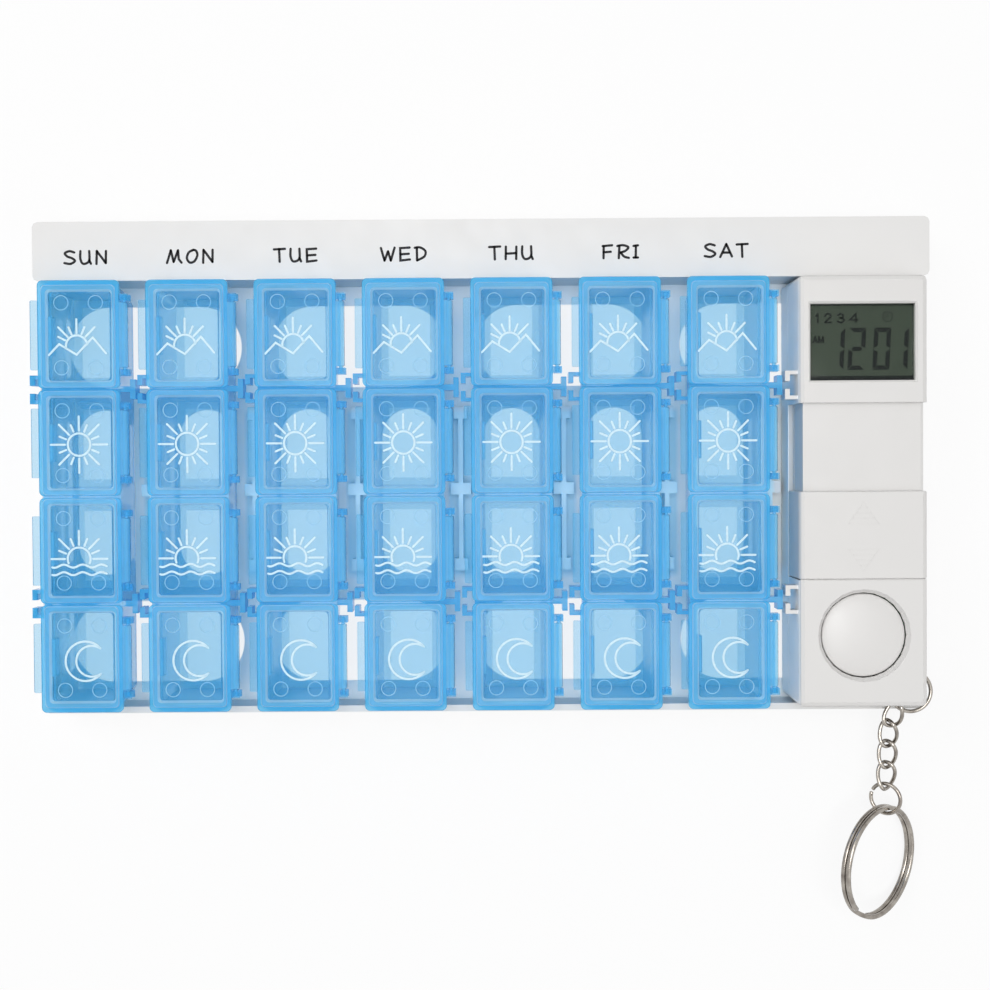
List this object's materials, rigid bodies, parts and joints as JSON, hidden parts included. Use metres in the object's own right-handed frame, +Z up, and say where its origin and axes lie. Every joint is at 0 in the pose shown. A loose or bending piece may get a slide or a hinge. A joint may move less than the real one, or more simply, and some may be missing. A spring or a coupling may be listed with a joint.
{
  "type": "weekly pill organizer",
  "caption": "Flat tray with lift-out day boxes, each a row of pockets under snap lids, beside an alarm timer with a sliding cover and a key chain.",
  "frame": {"origin": "middle of the tray's underside, on the surface that it lies on", "axes": "+X along the week from the first day box to the timer, +Y towards the raised header, +Z up"},
  "size_m": [0.2242, 0.1771, 0.0262],
  "materials": {
    "white_plastic": "fine satin moulded ABS",
    "blue_clear": "translucent sky-blue moulding, glossy",
    "display_lens": "clear glossy window",
    "display_glass": "grey-green liquid crystal panel",
    "rubber": "matte black",
    "board": "green lacquered laminate",
    "battery_wrap": "plain printed sleeve",
    "button_grey": "satin",
    "nickel": "polished nickel plate"
  },
  "bodies": {
    "tray": {"tray": "white_plastic"},
    "box_SUN": {"box_SUN": "blue_clear"},
    "box_MON": {"box_MON": "blue_clear"},
    "box_TUE": {"box_TUE": "blue_clear"},
    "box_WED": {"box_WED": "blue_clear"},
    "box_THU": {"box_THU": "blue_clear"},
    "box_FRI": {"box_FRI": "blue_clear"},
    "box_SAT": {"box_SAT": "blue_clear"},
    "lid_SUN_1": {"lid_SUN_1": "blue_clear"},
    "lid_SUN_2": {"lid_SUN_2": "blue_clear"},
    "lid_SUN_3": {"lid_SUN_3": "blue_clear"},
    "lid_SUN_4": {"lid_SUN_4": "blue_clear"},
    "lid_MON_1": {"lid_MON_1": "blue_clear"},
    "lid_MON_2": {"lid_MON_2": "blue_clear"},
    "lid_MON_3": {"lid_MON_3": "blue_clear"},
    "lid_MON_4": {"lid_MON_4": "blue_clear"},
    "lid_TUE_1": {"lid_TUE_1": "blue_clear"},
    "lid_TUE_2": {"lid_TUE_2": "blue_clear"},
    "lid_TUE_3": {"lid_TUE_3": "blue_clear"},
    "lid_TUE_4": {"lid_TUE_4": "blue_clear"},
    "lid_WED_1": {"lid_WED_1": "blue_clear"},
    "lid_WED_2": {"lid_WED_2": "blue_clear"},
    "lid_WED_3": {"lid_WED_3": "blue_clear"},
    "lid_WED_4": {"lid_WED_4": "blue_clear"},
    "lid_THU_1": {"lid_THU_1": "blue_clear"},
    "lid_THU_2": {"lid_THU_2": "blue_clear"},
    "lid_THU_3": {"lid_THU_3": "blue_clear"},
    "lid_THU_4": {"lid_THU_4": "blue_clear"},
    "lid_FRI_1": {"lid_FRI_1": "blue_clear"},
    "lid_FRI_2": {"lid_FRI_2": "blue_clear"},
    "lid_FRI_3": {"lid_FRI_3": "blue_clear"},
    "lid_FRI_4": {"lid_FRI_4": "blue_clear"},
    "lid_SAT_1": {"lid_SAT_1": "blue_clear"},
    "lid_SAT_2": {"lid_SAT_2": "blue_clear"},
    "lid_SAT_3": {"lid_SAT_3": "blue_clear"},
    "lid_SAT_4": {"lid_SAT_4": "blue_clear"},
    "timer": {"timer_front_shell": "white_plastic", "timer_back_shell": "white_plastic", "circuit_board": "board", "buzzer": "rubber", "display_lens": "display_lens", "display_module": "display_glass", "contact_strip": "rubber", "battery_1": "battery_wrap", "battery_2": "battery_wrap", "battery_contact_front": "nickel", "battery_contact_rear": "nickel"},
    "slide_cover": {"slide_cover": "white_plastic"},
    "battery_door": {"battery_door": "white_plastic"},
    "alarm_button": {"alarm_button": "white_plastic"},
    "set_button_1": {"set_button_1": "button_grey"},
    "set_button_2": {"set_button_2": "button_grey"},
    "set_button_3": {"set_button_3": "button_grey"},
    "corner_ring": {"corner_ring": "nickel"},
    "chain_link_1": {"chain_link_1": "nickel"},
    "chain_link_2": {"chain_link_2": "nickel"},
    "chain_link_3": {"chain_link_3": "nickel"},
    "chain_link_4": {"chain_link_4": "nickel"},
    "jump_ring": {"jump_ring": "nickel"},
    "split_ring": {"split_ring": "nickel"}
  },
  "joints": [
    {"name": "box_SUN_lift", "type": "slide", "parent": "tray", "child": "box_SUN", "axis": [0, 0, 1], "range_m": [0, 0.03]},
    {"name": "box_MON_lift", "type": "slide", "parent": "tray", "child": "box_MON", "axis": [0, 0, 1], "range_m": [0, 0.03]},
    {"name": "box_TUE_lift", "type": "slide", "parent": "tray", "child": "box_TUE", "axis": [0, 0, 1], "range_m": [0, 0.03]},
    {"name": "box_WED_lift", "type": "slide", "parent": "tray", "child": "box_WED", "axis": [0, 0, 1], "range_m": [0, 0.03]},
    {"name": "box_THU_lift", "type": "slide", "parent": "tray", "child": "box_THU", "axis": [0, 0, 1], "range_m": [0, 0.03]},
    {"name": "box_FRI_lift", "type": "slide", "parent": "tray", "child": "box_FRI", "axis": [0, 0, 1], "range_m": [0, 0.03]},
    {"name": "box_SAT_lift", "type": "slide", "parent": "tray", "child": "box_SAT", "axis": [0, 0, 1], "range_m": [0, 0.03]},
    {"name": "lid_SUN_1_hinge", "type": "hinge", "parent": "box_SUN", "child": "lid_SUN_1", "pos_m": [-0.0869, 0.0329, 0.0249], "axis": [0, 1, 0], "range_deg": [0, 105]},
    {"name": "lid_SUN_2_hinge", "type": "hinge", "parent": "box_SUN", "child": "lid_SUN_2", "pos_m": [-0.0869, 0.0066, 0.0249], "axis": [0, 1, 0], "range_deg": [0, 105]},
    {"name": "lid_SUN_3_hinge", "type": "hinge", "parent": "box_SUN", "child": "lid_SUN_3", "pos_m": [-0.0869, -0.0197, 0.0249], "axis": [0, 1, 0], "range_deg": [0, 105]},
    {"name": "lid_SUN_4_hinge", "type": "hinge", "parent": "box_SUN", "child": "lid_SUN_4", "pos_m": [-0.0869, -0.046, 0.0249], "axis": [0, 1, 0], "range_deg": [0, 105]},
    {"name": "lid_MON_1_hinge", "type": "hinge", "parent": "box_MON", "child": "lid_MON_1", "pos_m": [-0.0605, 0.0329, 0.0249], "axis": [0, 1, 0], "range_deg": [0, 105]},
    {"name": "lid_MON_2_hinge", "type": "hinge", "parent": "box_MON", "child": "lid_MON_2", "pos_m": [-0.0605, 0.0066, 0.0249], "axis": [0, 1, 0], "range_deg": [0, 105]},
    {"name": "lid_MON_3_hinge", "type": "hinge", "parent": "box_MON", "child": "lid_MON_3", "pos_m": [-0.0605, -0.0197, 0.0249], "axis": [0, 1, 0], "range_deg": [0, 105]},
    {"name": "lid_MON_4_hinge", "type": "hinge", "parent": "box_MON", "child": "lid_MON_4", "pos_m": [-0.0605, -0.046, 0.0249], "axis": [0, 1, 0], "range_deg": [0, 105]},
    {"name": "lid_TUE_1_hinge", "type": "hinge", "parent": "box_TUE", "child": "lid_TUE_1", "pos_m": [-0.0341, 0.0329, 0.0249], "axis": [0, 1, 0], "range_deg": [0, 105]},
    {"name": "lid_TUE_2_hinge", "type": "hinge", "parent": "box_TUE", "child": "lid_TUE_2", "pos_m": [-0.0341, 0.0066, 0.0249], "axis": [0, 1, 0], "range_deg": [0, 105]},
    {"name": "lid_TUE_3_hinge", "type": "hinge", "parent": "box_TUE", "child": "lid_TUE_3", "pos_m": [-0.0341, -0.0197, 0.0249], "axis": [0, 1, 0], "range_deg": [0, 105]},
    {"name": "lid_TUE_4_hinge", "type": "hinge", "parent": "box_TUE", "child": "lid_TUE_4", "pos_m": [-0.0341, -0.046, 0.0249], "axis": [0, 1, 0], "range_deg": [0, 105]},
    {"name": "lid_WED_1_hinge", "type": "hinge", "parent": "box_WED", "child": "lid_WED_1", "pos_m": [-0.0077, 0.0329, 0.0249], "axis": [0, 1, 0], "range_deg": [0, 105]},
    {"name": "lid_WED_2_hinge", "type": "hinge", "parent": "box_WED", "child": "lid_WED_2", "pos_m": [-0.0077, 0.0066, 0.0249], "axis": [0, 1, 0], "range_deg": [0, 105]},
    {"name": "lid_WED_3_hinge", "type": "hinge", "parent": "box_WED", "child": "lid_WED_3", "pos_m": [-0.0077, -0.0197, 0.0249], "axis": [0, 1, 0], "range_deg": [0, 105]},
    {"name": "lid_WED_4_hinge", "type": "hinge", "parent": "box_WED", "child": "lid_WED_4", "pos_m": [-0.0077, -0.046, 0.0249], "axis": [0, 1, 0], "range_deg": [0, 105]},
    {"name": "lid_THU_1_hinge", "type": "hinge", "parent": "box_THU", "child": "lid_THU_1", "pos_m": [0.0187, 0.0329, 0.0249], "axis": [0, 1, 0], "range_deg": [0, 105]},
    {"name": "lid_THU_2_hinge", "type": "hinge", "parent": "box_THU", "child": "lid_THU_2", "pos_m": [0.0187, 0.0066, 0.0249], "axis": [0, 1, 0], "range_deg": [0, 105]},
    {"name": "lid_THU_3_hinge", "type": "hinge", "parent": "box_THU", "child": "lid_THU_3", "pos_m": [0.0187, -0.0197, 0.0249], "axis": [0, 1, 0], "range_deg": [0, 105]},
    {"name": "lid_THU_4_hinge", "type": "hinge", "parent": "box_THU", "child": "lid_THU_4", "pos_m": [0.0187, -0.046, 0.0249], "axis": [0, 1, 0], "range_deg": [0, 105]},
    {"name": "lid_FRI_1_hinge", "type": "hinge", "parent": "box_FRI", "child": "lid_FRI_1", "pos_m": [0.0451, 0.0329, 0.0249], "axis": [0, 1, 0], "range_deg": [0, 105]},
    {"name": "lid_FRI_2_hinge", "type": "hinge", "parent": "box_FRI", "child": "lid_FRI_2", "pos_m": [0.0451, 0.0066, 0.0249], "axis": [0, 1, 0], "range_deg": [0, 105]},
    {"name": "lid_FRI_3_hinge", "type": "hinge", "parent": "box_FRI", "child": "lid_FRI_3", "pos_m": [0.0451, -0.0197, 0.0249], "axis": [0, 1, 0], "range_deg": [0, 105]},
    {"name": "lid_FRI_4_hinge", "type": "hinge", "parent": "box_FRI", "child": "lid_FRI_4", "pos_m": [0.0451, -0.046, 0.0249], "axis": [0, 1, 0], "range_deg": [0, 105]},
    {"name": "lid_SAT_1_hinge", "type": "hinge", "parent": "box_SAT", "child": "lid_SAT_1", "pos_m": [0.0715, 0.0329, 0.0249], "axis": [0, 1, 0], "range_deg": [0, 105]},
    {"name": "lid_SAT_2_hinge", "type": "hinge", "parent": "box_SAT", "child": "lid_SAT_2", "pos_m": [0.0715, 0.0066, 0.0249], "axis": [0, 1, 0], "range_deg": [0, 105]},
    {"name": "lid_SAT_3_hinge", "type": "hinge", "parent": "box_SAT", "child": "lid_SAT_3", "pos_m": [0.0715, -0.0197, 0.0249], "axis": [0, 1, 0], "range_deg": [0, 105]},
    {"name": "lid_SAT_4_hinge", "type": "hinge", "parent": "box_SAT", "child": "lid_SAT_4", "pos_m": [0.0715, -0.046, 0.0249], "axis": [0, 1, 0], "range_deg": [0, 105]},
    {"name": "timer_lift", "type": "slide", "parent": "tray", "child": "timer", "axis": [0, 0, 1], "range_m": [0, 0.03]},
    {"name": "slide_cover_travel", "type": "slide", "parent": "timer", "child": "slide_cover", "axis": [0, 1, 0], "range_m": [0, 0.02135]},
    {"name": "battery_door_slide", "type": "slide", "parent": "timer", "child": "battery_door", "axis": [0, 1, 0], "range_m": [0, 0.003]},
    {"name": "alarm_button_press", "type": "slide", "parent": "timer", "child": "alarm_button", "axis": [0, 0, -1], "range_m": [0, 0.0011], "stiffness_N_per_m": 400, "springref_m": -0.0003},
    {"name": "set_button_1_press", "type": "slide", "parent": "timer", "child": "set_button_1", "axis": [0, 0, -1], "range_m": [0, 0.0006], "stiffness_N_per_m": 300, "springref_m": -0.0003},
    {"name": "set_button_2_press", "type": "slide", "parent": "timer", "child": "set_button_2", "axis": [0, 0, -1], "range_m": [0, 0.0006], "stiffness_N_per_m": 300, "springref_m": -0.0003},
    {"name": "set_button_3_press", "type": "slide", "parent": "timer", "child": "set_button_3", "axis": [0, 0, -1], "range_m": [0, 0.0006], "stiffness_N_per_m": 300, "springref_m": -0.0003},
    {"name": "corner_ring_turn", "type": "hinge", "parent": "timer", "child": "corner_ring", "pos_m": [0.1071, -0.0567, 0.0165], "axis": [0, 0, 1], "range_deg": [-12, 12]},
    {"name": "chain_link_1_turn", "type": "hinge", "parent": "corner_ring", "child": "chain_link_1", "pos_m": [0.10382, -0.06061, 0.0165], "axis": [-0.766, 0.6428, 0], "range_deg": [0, 12]},
    {"name": "chain_link_2_turn", "type": "hinge", "parent": "chain_link_1", "child": "chain_link_2", "pos_m": [0.10218, -0.06566, 0.01457], "axis": [-0.946, 0.2143, 0.2432], "range_deg": [0, 12]},
    {"name": "chain_link_3_turn", "type": "hinge", "parent": "chain_link_2", "child": "chain_link_3", "pos_m": [0.10228, -0.07114, 0.0132], "axis": [-0.9044, -0.118, 0.4101], "range_deg": [0, 12]},
    {"name": "chain_link_4_turn", "type": "hinge", "parent": "chain_link_3", "child": "chain_link_4", "pos_m": [0.10228, -0.07672, 0.01232], "axis": [-0.8192, -0.0897, 0.5665], "range_deg": [0, 12]},
    {"name": "jump_ring_turn", "type": "hinge", "parent": "chain_link_4", "child": "jump_ring", "pos_m": [0.10208, -0.08233, 0.01173], "axis": [-0.7093, -0.0492, 0.7032], "range_deg": [0, 12]},
    {"name": "split_ring_turn", "type": "hinge", "parent": "jump_ring", "child": "split_ring", "pos_m": [0.1023, -0.08867, 0.01139], "axis": [0.8197, -0.0014, 0.5728], "range_deg": [-10, 4]}
  ]
}
